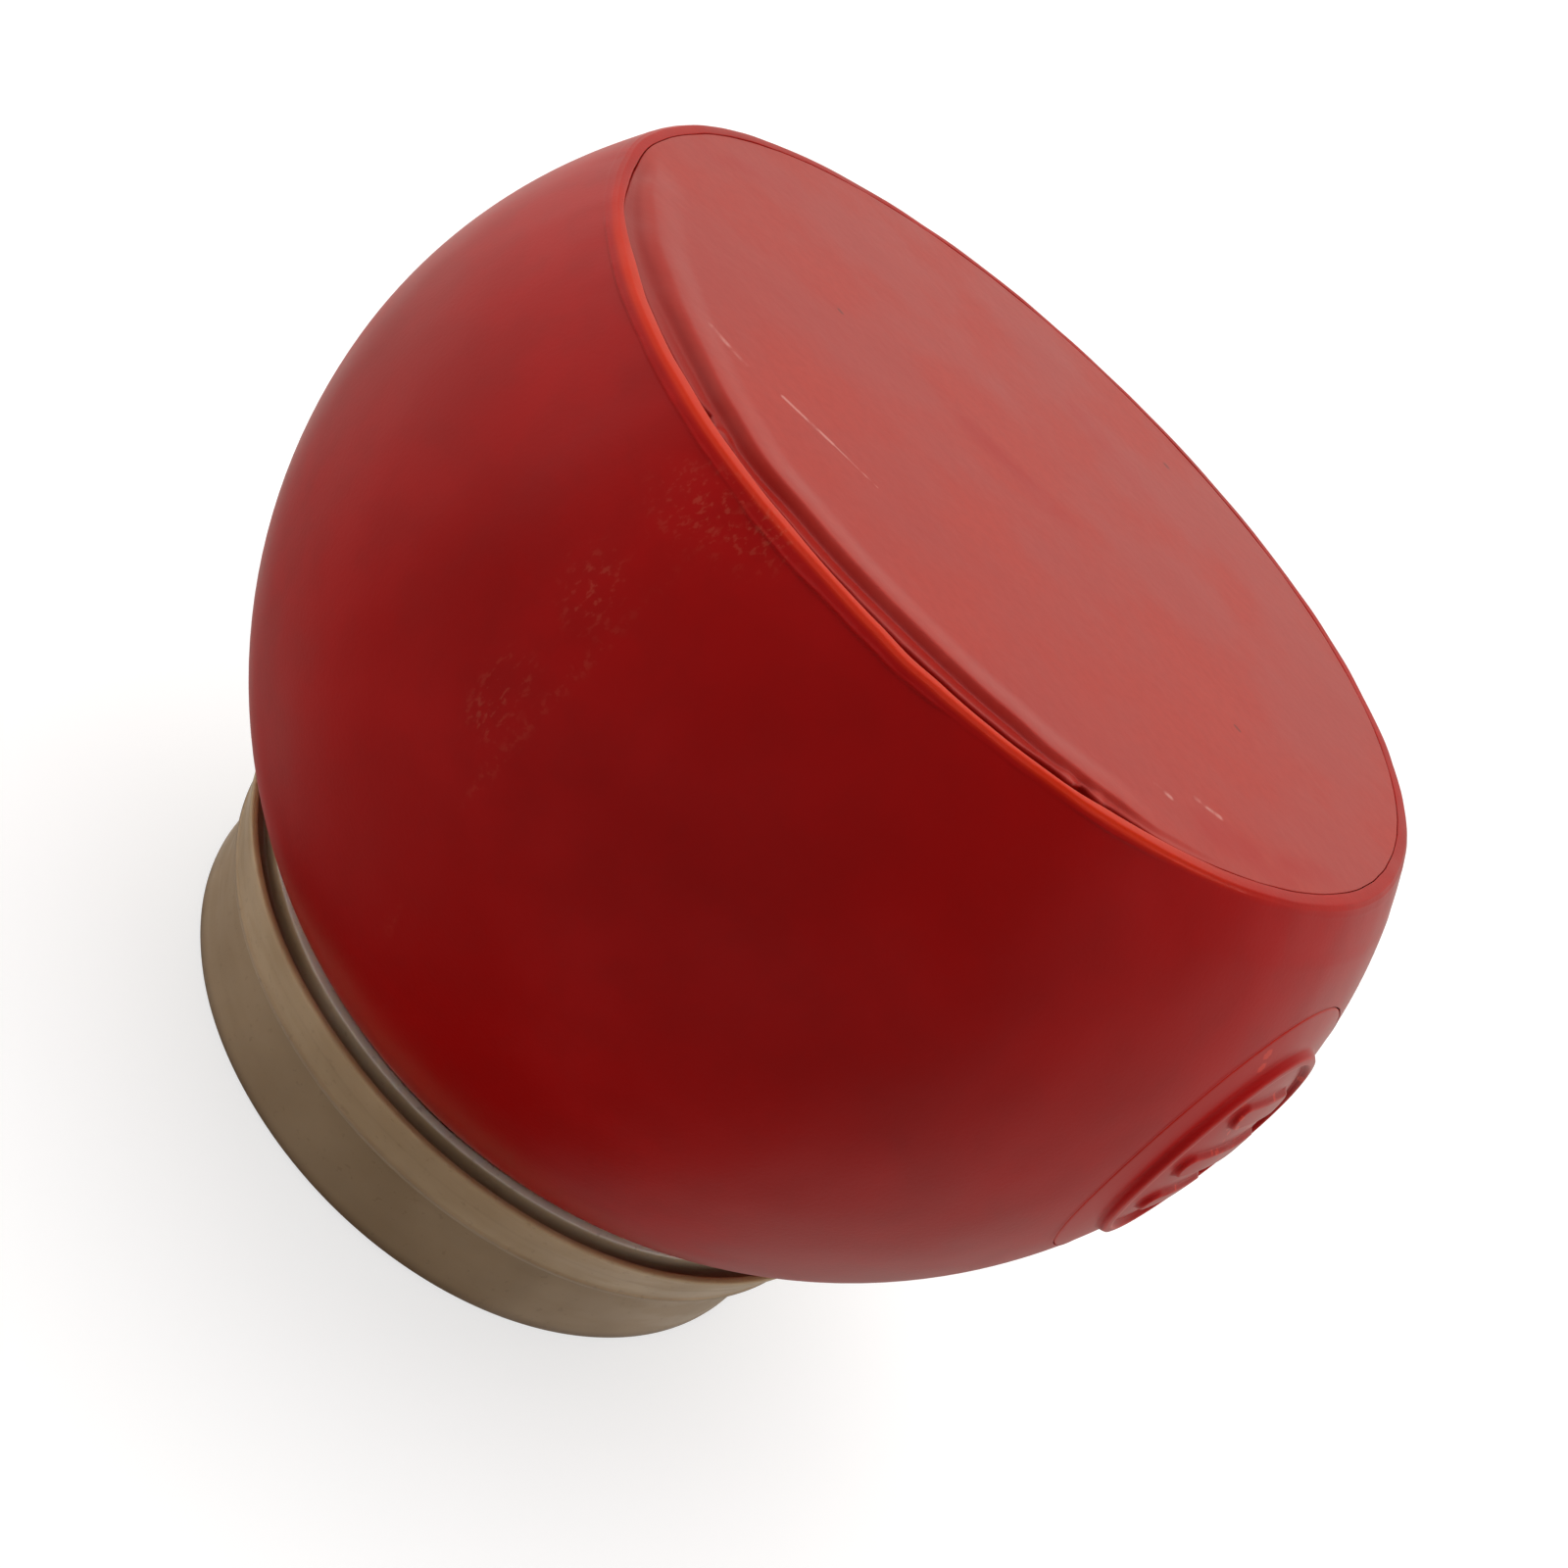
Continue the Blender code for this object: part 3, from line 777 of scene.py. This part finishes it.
def moulded_red_rubber():
    """Soft polyurethane rubber, moulded.

    Satin and deep red, with paler dust and hand scuffs, and a painted orange glow on the thin lip's top,
    strongest towards the front.
    """
    finish, tree, where = new_finish("moulded_red_rubber")
    height = add(tree, "ShaderNodeSeparateXYZ", {0: where}, "Z")
    # Slow cloudiness of the pigment, 14 mm across, and finer mottling of 2.5 mm.
    cloud = speckle(tree, where, 14.0, 0.35, 0.68, 2.0, 0.3)
    mottle = speckle(tree, where, 2.5, 0.40, 0.66, 3.0, 1.1)
    colour = coated(tree, linear("#8e0100"), cloud, 1.0, "#9a0201")
    colour = coated(tree, colour, mottle, 0.30, "#850301")
    # Painted glow: the lip's top 0.3 mm is painted orange-red, most strongly towards the front, standing in for
    # light shining through the thin lip.
    toward_front = add(
        tree, "ShaderNodeVectorMath", {0: where, 1: (0.21, -0.98, 0.0)}, "Value", operation="DOT_PRODUCT",
    )
    glow_toward_front = add(
        tree, "ShaderNodeMapRange",
        {"Value": toward_front, "From Min": 13.0 * MM, "From Max": 23.0 * MM, "To Min": 0.15}, **EASED,
    )
    near_top = add(
        tree, "ShaderNodeMapRange",
        {"Value": height, "From Min": FACE_Z - 0.36 * MM, "From Max": FACE_Z - 0.06 * MM}, **EASED,
    )
    painted_lip_glow = add(tree, "ShaderNodeMath", {0: glow_toward_front, 1: near_top}, operation="MULTIPLY")
    colour = coated(tree, colour, painted_lip_glow, 0.75, "#c62c00")
    # Dust rubbed into the skin shows as broken specks, finer than 0.5 mm, over a thin film of it everywhere.
    masks = []
    for rows, specks, weight in (
        (DUSTY_SPOTS, speckle(tree, where, 0.28, 0.54, 0.66, 3.0, 4.0, (1.0, 1.0, 0.5)), 0.24),
        (HANDLING_STREAK, speckle(tree, where, 0.4, 0.50, 0.62, 4.0, 7.0), 0.13),
    ):
        broken = add(tree, "ShaderNodeMath", {0: marks(tree, where, rows), 1: specks}, operation="MULTIPLY")
        masks.append(add(tree, "ShaderNodeMath", {0: broken, 1: weight}, operation="MULTIPLY"))
    film = speckle(tree, where, 0.35, 0.60, 0.75, 3.0, 2.0)
    masks.append(add(tree, "ShaderNodeMath", {0: film, 1: 0.006}, operation="MULTIPLY"))
    worn = add(tree, "ShaderNodeMath", {0: masks[0], 1: masks[1]}, operation="MAXIMUM")
    dust = add(tree, "ShaderNodeMath", {0: worn, 1: masks[2]}, operation="MAXIMUM")
    colour = coated(tree, colour, dust, 1.0, "#b05a44")
    rough = add(tree, "ShaderNodeMapRange", {"Value": cloud, "To Min": 0.33, "To Max": 0.40}, **EASED)
    finished(tree, {
        "Base Color": colour, "Roughness": rough, "IOR": 1.36,
        "Subsurface Weight": 0.25, "Subsurface Radius": (1.0, 0.18, 0.10), "Subsurface Scale": 1.2 * MM,
        "Normal": cast_bump(tree, where, 0.25, 0.007, 6.0, 0.10),
    })
    return finish


# Marks on the pad's flat, in mm: wiped smudges, fine scratches, and pits.
WIPED_SMUDGES = (
    ((-4.6, -1.2), (1.6, 0.4), 0.3, 1.6),
    ((-5.8, 15.6), (0.2, 15.2), 0.3, 1.5),
    ((-25.3, -4.2), (-23.4, 1.8), 0.2, 1.3),
    ((20.4, -12.6), (23.8, -9.4), 0.4, 1.6),
    ((23.6, -8.2), (25.4, -4.6), 0.2, 1.1),
)
FINE_SCRATCHES = (
    ((-7.0, -18.7), (-4.0, -17.7), 0.05, 0.16),
    ((-4.0, -17.7), (-1.2, -16.9), 0.0, 0.12),
    ((-11.6, -19.9), (-9.2, -19.6), 0.0, 0.30),
    ((19.0, -11.4), (20.3, -10.6), 0.05, 0.22),
    ((17.6, -14.2), (18.4, -13.8), 0.05, 0.2),
)
PITS = (
    ((-13.4, -5.0), (-13.2, -5.0), 0.08, 0.12),
    ((-1.3, 22.2), (-1.1, 22.2), 0.1, 0.16),
    ((16.4, -0.3), (16.7, -0.3), 0.07, 0.12),
)


def cast_pad_rubber():
    """Tacky red rubber, cast in place and self-levelled.

    Smooth, with a pale dusty bloom, wiped smudges and a few scratches.
    """
    finish, tree, where = new_finish("cast_pad_rubber")
    level = FACE_Z / MM

    def on_face(rows):
        return marks(tree, where, [((*start, level), (*end, level), *widths) for start, end, *widths in rows])

    bloom = speckle(tree, where, 9.0, 0.30, 0.70, 4.0, 0.8)
    fine = speckle(tree, where, 0.6, 0.35, 0.70, 2.0, 3.3)
    colour = coated(tree, linear("#9c2016"), bloom, 1.0, "#a4281b")
    colour = coated(tree, colour, fine, 0.35, "#951a10")
    patchy = speckle(tree, where, 3.0, 0.30, 0.55, 4.0, 5.0)
    smudges = add(tree, "ShaderNodeMath", {0: on_face(WIPED_SMUDGES), 1: patchy}, operation="MULTIPLY")
    colour = coated(tree, colour, smudges, 0.85, "#9c0e03")
    # Painted shade: the step and its ledge below the flat are painted a deeper red, where they lie in shade
    # beside the lip.
    height = add(tree, "ShaderNodeSeparateXYZ", {0: where}, "Z")
    low = add(
        tree, "ShaderNodeMapRange",
        {"Value": height, "From Min": FACE_Z - 0.02 * MM, "From Max": FACE_Z - 0.34 * MM}, **EASED,
    )
    colour = coated(tree, colour, low, 0.7, "#880601")
    broken = speckle(tree, where, 1.2, 0.36, 0.56, 3.0, 8.0)
    scratches = add(tree, "ShaderNodeMath", {0: on_face(FINE_SCRATCHES), 1: broken}, operation="MULTIPLY")
    colour = coated(tree, colour, scratches, 0.36, "#e0a79c")
    colour = coated(tree, colour, on_face(PITS), 0.7, "#5c1410")
    rough = add(tree, "ShaderNodeMapRange", {"Value": bloom, "To Min": 0.30, "To Max": 0.38}, **EASED)
    finished(tree, {
        "Base Color": colour, "Roughness": rough, "IOR": 1.47,
        "Subsurface Weight": 0.15, "Subsurface Radius": (1.0, 0.2, 0.12), "Subsurface Scale": 1.0 * MM,
        "Normal": cast_bump(tree, where, 0.7, 0.010, 7.0, 0.06),
    })
    return finish


def badge_red_rubber():
    """The same red rubber from a polished part of the mould: glossier, with a painted highlight along its sharp
    high edges.
    """
    finish, tree, where = new_finish("badge_red_rubber")
    cloud = speckle(tree, where, 14.0, 0.35, 0.68, 2.0, 0.3)
    colour = coated(tree, linear("#900100"), cloud, 1.0, "#9c0301")
    sharpness = add(tree, "ShaderNodeNewGeometry", output="Pointiness")
    levels = {"Value": sharpness, "From Min": 0.515, "From Max": 0.57}
    painted_edge_highlight = add(tree, "ShaderNodeMapRange", levels, **EASED)
    # Painted highlight: the sharp high edges of the frame and bars are painted a paler orange-red.
    colour = coated(tree, colour, painted_edge_highlight, 0.5, "#d03a22")
    rough = add(tree, "ShaderNodeMapRange", {"Value": cloud, "To Min": 0.32, "To Max": 0.39}, **EASED)
    finished(tree, {
        "Base Color": colour, "Roughness": rough, "IOR": 1.36,
        "Subsurface Weight": 0.2, "Subsurface Radius": (1.0, 0.18, 0.10), "Subsurface Scale": 1.0 * MM,
        "Normal": cast_bump(tree, where, 0.3, 0.004, 3.0, 0.04),
    })
    return finish


def poured_core_rubber():
    """Soft rubber poured inside the ball: matt, with small trapped bubbles."""
    finish, tree, where = new_finish("poured_core_rubber")
    bubbles = add(tree, "ShaderNodeTexVoronoi", {"Vector": where, "Scale": 1.0 / (2.4 * MM)}, "Distance")
    pits = add(tree, "ShaderNodeMapRange", {"Value": bubbles, "From Min": 0.18, "From Max": 0.10}, **EASED)
    cloud = speckle(tree, where, 8.0, 0.35, 0.68, 3.0, 0.9)
    colour = coated(tree, linear("#8a1a14"), cloud, 1.0, "#9c241c")
    colour = coated(tree, colour, pits, 0.6, "#5e0f0b")
    rough = add(tree, "ShaderNodeMapRange", {"Value": cloud, "To Min": 0.5, "To Max": 0.6}, **EASED)
    dent = add(tree, "ShaderNodeBump", {"Strength": 1.0, "Distance": 0.15 * MM, "Height": pits})
    finished(tree, {"Base Color": colour, "Roughness": rough, "IOR": 1.47, "Normal": dent})
    return finish


def milky_polyethylene():
    """Natural polyethylene, injection moulded: milky, waxy and a little translucent, greyed by handling, with
    painted shade on its wall, foot and groove and painted light on its land.
    """
    finish, tree, where = new_finish("milky_polyethylene")
    height = add(tree, "ShaderNodeSeparateXYZ", {0: where}, "Z")
    level = add(tree, "ShaderNodeVectorMath", {0: where, 1: (1.0, 1.0, 0.0)}, operation="MULTIPLY")
    radius = add(tree, "ShaderNodeVectorMath", {0: level}, "Value", operation="LENGTH")
    land_edge = SEAT_RADIUS + LAND_WIDTH
    groove_edge = land_edge + GROOVE_WIDTH
    ridge_z = RING_TOP - FLANGE_DEPTH
    # Where each part of the ring lies: a height or a radius, and where along it the mask goes from 0 to 1.
    masks = {}
    for name, value, start, full in (
        ("wall", height, ridge_z + 0.25 * MM, ridge_z - 0.35 * MM),
        ("foot", height, 1.1 * MM, 0.1 * MM),
        ("past the land", radius, land_edge - 0.05 * MM, land_edge + 0.12 * MM),
        ("inside the lip", radius, groove_edge + 0.02 * MM, groove_edge - 0.12 * MM),
        ("below the lip's top", height, RING_TOP - 0.05 * MM, RING_TOP - 0.5 * MM),
        ("above the groove's floor", height, 8.0 * MM, 8.4 * MM),
        ("inside the land's edge", radius, land_edge + 0.02 * MM, land_edge - 0.08 * MM),
        ("on the land", height, 9.0 * MM, 9.5 * MM),
    ):
        levels = {"Value": value, "From Min": start, "From Max": full}
        masks[name] = add(tree, "ShaderNodeMapRange", levels, **EASED)
    cloud = speckle(tree, where, 7.0, 0.35, 0.68, 3.0, 0.4)
    # Flow of the plastic in the mould runs round the wall in soft streaks, about 6 mm long and 1.2 mm high.
    flow = speckle(tree, where, 6.0, 0.38, 0.64, 2.0, 2.2, (1.0, 1.0, 5.0))
    colour = coated(tree, linear("#9a8062"), cloud, 1.0, "#a88e70")
    colour = coated(tree, colour, flow, 0.12, "#8a7458")
    # Painted shade: the wall below the ridge is painted darker, so the thin flange above reads lighter, as if
    # more light came through it.
    colour = coated(tree, colour, masks["wall"], 0.42, "#75604a")
    # Painted shade: the foot and the groove are painted dark brown, where shade falls on them.
    groove = masks["past the land"]
    for name in ("inside the lip", "below the lip's top", "above the groove's floor"):
        groove = add(tree, "ShaderNodeMath", {0: groove, 1: masks[name]}, operation="MULTIPLY")
    foot_shade = add(tree, "ShaderNodeMath", {0: masks["foot"], 1: 0.65}, operation="MULTIPLY")
    groove_shade = add(tree, "ShaderNodeMath", {0: groove, 1: 0.40}, operation="MULTIPLY")
    foot_and_groove_shade = add(tree, "ShaderNodeMath", {0: foot_shade, 1: groove_shade}, operation="MAXIMUM")
    colour = coated(tree, colour, foot_and_groove_shade, 1.0, "#4e3526")
    # Painted light: the land beside the ball is painted pale cream, standing in for light glowing through the
    # translucent plastic there.
    land = {0: masks["inside the land's edge"], 1: masks["on the land"]}
    colour = coated(tree, colour, add(tree, "ShaderNodeMath", land, operation="MULTIPLY"), 1.0, "#f0e6d2")
    specks = speckle(tree, where, 0.5, 0.62, 0.70, 3.0, 6.0)
    colour = coated(tree, colour, specks, 0.25, "#6b5338")
    rough = add(tree, "ShaderNodeMapRange", {"Value": flow, "To Min": 0.36, "To Max": 0.46}, **EASED)
    finished(tree, {
        "Base Color": colour, "Roughness": rough, "IOR": 1.51,
        "Subsurface Weight": 0.5, "Subsurface Radius": (1.0, 0.8, 0.55), "Subsurface Scale": 2.0 * MM,
        "Normal": cast_bump(tree, where, 0.3, 0.004, 4.0, 0.06),
    })
    return finish


def matt_studio_board():
    """A matt board, faintly uneven: white to the eye, but dim to the light, so it throws little back."""
    finish, tree, where = new_finish("matt_studio_board")
    cloud = speckle(tree, where, 60.0, 0.3, 0.7, 3.0, 0.2)
    colour = coated(tree, linear("#a8a8a7"), cloud, 1.0, "#acacab")
    seen = add(tree, "ShaderNodeLightPath", output="Is Camera Ray")
    lift = add(tree, "ShaderNodeMath", {0: seen, 1: 0.66}, operation="MULTIPLY")
    finished(tree, {
        "Base Color": colour, "Roughness": 0.9, "Specular IOR Level": 0.0,
        "Emission Color": WHITE, "Emission Strength": lift,
    })
    return finish


# ---------------------------------------------------------------- the studio

FLOOR_HALF_SIZE = 6.0
LAMP_DISTANCE = 0.6

# Broad soft lights: azimuth and elevation (degrees), strength, and spread (degrees).
STUDIO_LIGHTS = {
    "overhead_soft_light": (117.0, 72.0, 2.5, 70.0),
    "front_fill_light": (-68.0, 36.0, 0.80, 80.0),
    "low_fill_light": (-73.0, -40.0, 0.75, 80.0),
    "left_side_light": (202.0, 2.0, 1.8, 60.0),
    "right_side_light": (22.0, 5.0, 1.4, 60.0),
}

# The surround's soft bright areas: azimuth, elevation, where each starts and is full (cosine), strength.
SURROUND = (
    (114.0, 22.0, 0.20, 0.90, 0.60),
    (212.0, -38.0, 0.72, 0.97, 0.14),
    (170.0, -42.0, 0.93, 0.975, 0.18),
    (42.0, -28.0, 0.60, 0.95, 0.55),
    (119.0, -22.0, 0.82, 0.98, 0.80),
    (187.0, 5.0, 0.70, 0.97, 0.60),
)
SURROUND_BASE = 0.006
SURROUND_COLOUR = (1.0, 0.95, 0.87, 1.0)

CAMERA_PLACE = (41.15 * MM, -101.85 * MM, 86.85 * MM)
CAMERA_AIM = (2.27 * MM, -2.17 * MM, 29.11 * MM)
CAMERA_ROLL = 44.68
CAMERA_LENS = 48.8


def make_floor():
    """The plain pale floor. It stays out of the ball's gloss and casts no shadow of its own."""
    mesh = bpy.data.meshes.new("studio_floor")
    work = bmesh.new()
    bmesh.ops.create_grid(work, x_segments=8, y_segments=8, size=FLOOR_HALF_SIZE)
    work.to_mesh(mesh)
    work.free()
    mesh.materials.append(matt_studio_board())
    floor = bpy.data.objects.new("studio_floor", mesh)
    bpy.context.scene.collection.objects.link(floor)
    floor.visible_glossy = False
    floor.visible_shadow = False


def direction(azimuth, elevation):
    """The unit direction towards an azimuth and an elevation in degrees."""
    turn, rise = math.radians(azimuth), math.radians(elevation)
    return Vector((math.cos(turn) * math.cos(rise), math.sin(turn) * math.cos(rise), math.sin(rise)))


def make_soft_light(name, azimuth, elevation, strength, spread):
    """A broad soft light, the same all over the floor, which doesn't show in the gloss."""
    light = bpy.data.lights.new(name, "SUN")
    light.energy = strength
    light.angle = math.radians(spread)
    lamp = bpy.data.objects.new(name, light)
    bpy.context.scene.collection.objects.link(lamp)
    lamp.location = direction(azimuth, elevation) * LAMP_DISTANCE
    lamp.rotation_mode = "QUATERNION"
    lamp.rotation_quaternion = (-lamp.location).to_track_quat("-Z", "Y")
    lamp.visible_glossy = False


def make_world():
    """A soft surround: bright behind and at the sides, dim on the near side, and plain white seen directly."""
    world = bpy.data.worlds.new("soft_surround")
    world.use_nodes = True
    tree = world.node_tree
    tree.nodes.clear()
    toward = add(tree, "ShaderNodeTexCoord", output="Generated")
    glows = []
    for azimuth, elevation, low, high, strength in SURROUND:
        lean = {0: toward, 1: direction(azimuth, elevation)}
        facing = add(tree, "ShaderNodeVectorMath", lean, "Value", operation="DOT_PRODUCT")
        levels = {"Value": facing, "From Min": low, "From Max": high, "To Max": strength}
        glows.append(add(tree, "ShaderNodeMapRange", levels, **EASED))
    total = glows[0]
    for more in [*glows[1:], SURROUND_BASE]:
        total = add(tree, "ShaderNodeMath", {0: total, 1: more}, operation="ADD")
    glow = add(tree, "ShaderNodeBackground", {"Color": SURROUND_COLOUR, "Strength": total})
    plain = add(tree, "ShaderNodeBackground", {"Color": WHITE, "Strength": 1.0})
    seen = add(tree, "ShaderNodeLightPath", output="Is Camera Ray")
    mixed = add(tree, "ShaderNodeMixShader", {0: seen, 1: glow, 2: plain})
    add(tree, "ShaderNodeOutputWorld", {"Surface": mixed})
    bpy.context.scene.world = world


def make_camera():
    """The view that the object is shown from: near its left front, high, and turned on its own axis."""
    lens = bpy.data.cameras.new("view_camera")
    lens.lens = CAMERA_LENS
    lens.sensor_width = 36.0
    lens.clip_start = 0.005
    camera = bpy.data.objects.new("view_camera", lens)
    bpy.context.scene.collection.objects.link(camera)
    camera.location = CAMERA_PLACE
    level = (Vector(CAMERA_AIM) - camera.location).to_track_quat("-Z", "Y").to_matrix()
    camera.rotation_mode = "QUATERNION"
    camera.rotation_quaternion = (level @ Matrix.Rotation(math.radians(CAMERA_ROLL), 3, "Z")).to_quaternion()
    bpy.context.scene.camera = camera


# ---------------------------------------------------------------- the making

make_shell(moulded_red_rubber())
make_pad(cast_pad_rubber())
make_badge(badge_red_rubber())
make_ring(milky_polyethylene())
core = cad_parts["soft_core"]
core.data.materials.clear()
core.data.materials.append(poured_core_rubber())
make_floor()
make_world()
for light_name, setup in STUDIO_LIGHTS.items():
    make_soft_light(light_name, *setup)
bpy.context.scene.view_settings.view_transform = "Standard"
make_camera()
